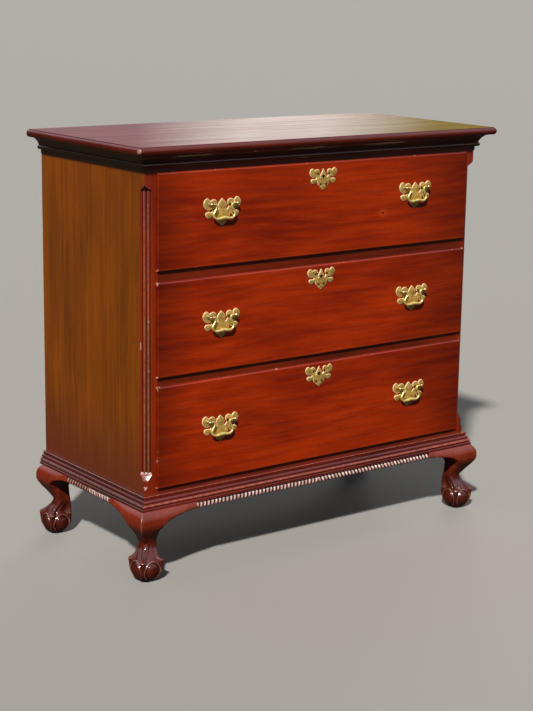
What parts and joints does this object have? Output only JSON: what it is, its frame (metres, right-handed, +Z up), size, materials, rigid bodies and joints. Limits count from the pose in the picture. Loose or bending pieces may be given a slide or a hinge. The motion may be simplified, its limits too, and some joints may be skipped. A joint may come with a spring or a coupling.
{
  "type": "chest of drawers",
  "caption": "Mahogany chest of drawers with lipped fronts, brass batwing pulls, fluted canted corners, rope-carved base and ball-and-claw feet; the drawers slide, the bails swing.",
  "frame": {"origin": "on the floor, under the middle of the box round the whole chest", "axes": "+X to the right seen from the front, +Y to the back, +Z up"},
  "size_m": [0.94, 0.438, 0.885],
  "materials": {
    "mahogany": "polished",
    "secondary_wood": "planed",
    "brass": "polished",
    "lock_steel": "aged"
  },
  "bodies": {
    "case": {"top_board": "mahogany", "cornice_front": "mahogany", "cornice_left": "mahogany", "cornice_right": "mahogany", "base_mould_front": "mahogany", "base_mould_left": "mahogany", "base_mould_right": "mahogany", "back_panel": "secondary_wood", "side_left": "mahogany", "side_right": "mahogany", "corner_post_left": "mahogany", "corner_post_right": "mahogany", "top_rail_front": "mahogany", "kickers": "secondary_wood", "drawer_blade_upper": "mahogany", "drawer_blade_lower": "mahogany", "bottom_rail": "mahogany", "drawer_runners": "secondary_wood", "drawer_guides": "secondary_wood", "frame_back_rails": "secondary_wood", "dust_panels": "secondary_wood", "leg_front_left": "mahogany", "leg_front_right": "mahogany", "leg_back_left": "mahogany", "leg_back_right": "mahogany", "knee_blocks_front": "mahogany", "knee_blocks_side": "mahogany", "rope_front": "mahogany", "rope_sides": "mahogany", "glue_blocks": "secondary_wood"},
    "top_drawer": {"top_drawer_front": "mahogany", "top_drawer_sides": "secondary_wood", "top_drawer_back": "secondary_wood", "top_drawer_bottom": "secondary_wood", "top_drawer_lock": "lock_steel", "top_escutcheon": "brass", "top_pull_plates": "brass", "top_pull_posts": "brass"},
    "top_bail_left": {"top_bail_left": "brass"},
    "top_bail_right": {"top_bail_right": "brass"},
    "middle_drawer": {"middle_drawer_front": "mahogany", "middle_drawer_sides": "secondary_wood", "middle_drawer_back": "secondary_wood", "middle_drawer_bottom": "secondary_wood", "middle_drawer_lock": "lock_steel", "middle_escutcheon": "brass", "middle_pull_plates": "brass", "middle_pull_posts": "brass"},
    "middle_bail_left": {"middle_bail_left": "brass"},
    "middle_bail_right": {"middle_bail_right": "brass"},
    "bottom_drawer": {"bottom_drawer_front": "mahogany", "bottom_drawer_sides": "secondary_wood", "bottom_drawer_back": "secondary_wood", "bottom_drawer_bottom": "secondary_wood", "bottom_drawer_lock": "lock_steel", "bottom_escutcheon": "brass", "bottom_pull_plates": "brass", "bottom_pull_posts": "brass"},
    "bottom_bail_left": {"bottom_bail_left": "brass"},
    "bottom_bail_right": {"bottom_bail_right": "brass"}
  },
  "joints": [
    {"name": "top_drawer_slide", "type": "slide", "parent": "case", "child": "top_drawer", "axis": [0, -1, 0], "range_m": [0, 0.3]},
    {"name": "top_bail_left_swing", "type": "hinge", "parent": "top_drawer", "child": "top_bail_left", "pos_m": [-0.257, -0.2001, 0.7625], "axis": [-1, 0, 0], "range_deg": [0, 85]},
    {"name": "top_bail_right_swing", "type": "hinge", "parent": "top_drawer", "child": "top_bail_right", "pos_m": [0.257, -0.2001, 0.7625], "axis": [-1, 0, 0], "range_deg": [0, 85]},
    {"name": "middle_drawer_slide", "type": "slide", "parent": "case", "child": "middle_drawer", "axis": [0, -1, 0], "range_m": [0, 0.3]},
    {"name": "middle_bail_left_swing", "type": "hinge", "parent": "middle_drawer", "child": "middle_bail_left", "pos_m": [-0.257, -0.2001, 0.534], "axis": [-1, 0, 0], "range_deg": [0, 85]},
    {"name": "middle_bail_right_swing", "type": "hinge", "parent": "middle_drawer", "child": "middle_bail_right", "pos_m": [0.257, -0.2001, 0.534], "axis": [-1, 0, 0], "range_deg": [0, 85]},
    {"name": "bottom_drawer_slide", "type": "slide", "parent": "case", "child": "bottom_drawer", "axis": [0, -1, 0], "range_m": [0, 0.3]},
    {"name": "bottom_bail_left_swing", "type": "hinge", "parent": "bottom_drawer", "child": "bottom_bail_left", "pos_m": [-0.257, -0.2001, 0.3155], "axis": [-1, 0, 0], "range_deg": [0, 85]},
    {"name": "bottom_bail_right_swing", "type": "hinge", "parent": "bottom_drawer", "child": "bottom_bail_right", "pos_m": [0.257, -0.2001, 0.3155], "axis": [-1, 0, 0], "range_deg": [0, 85]}
  ]
}
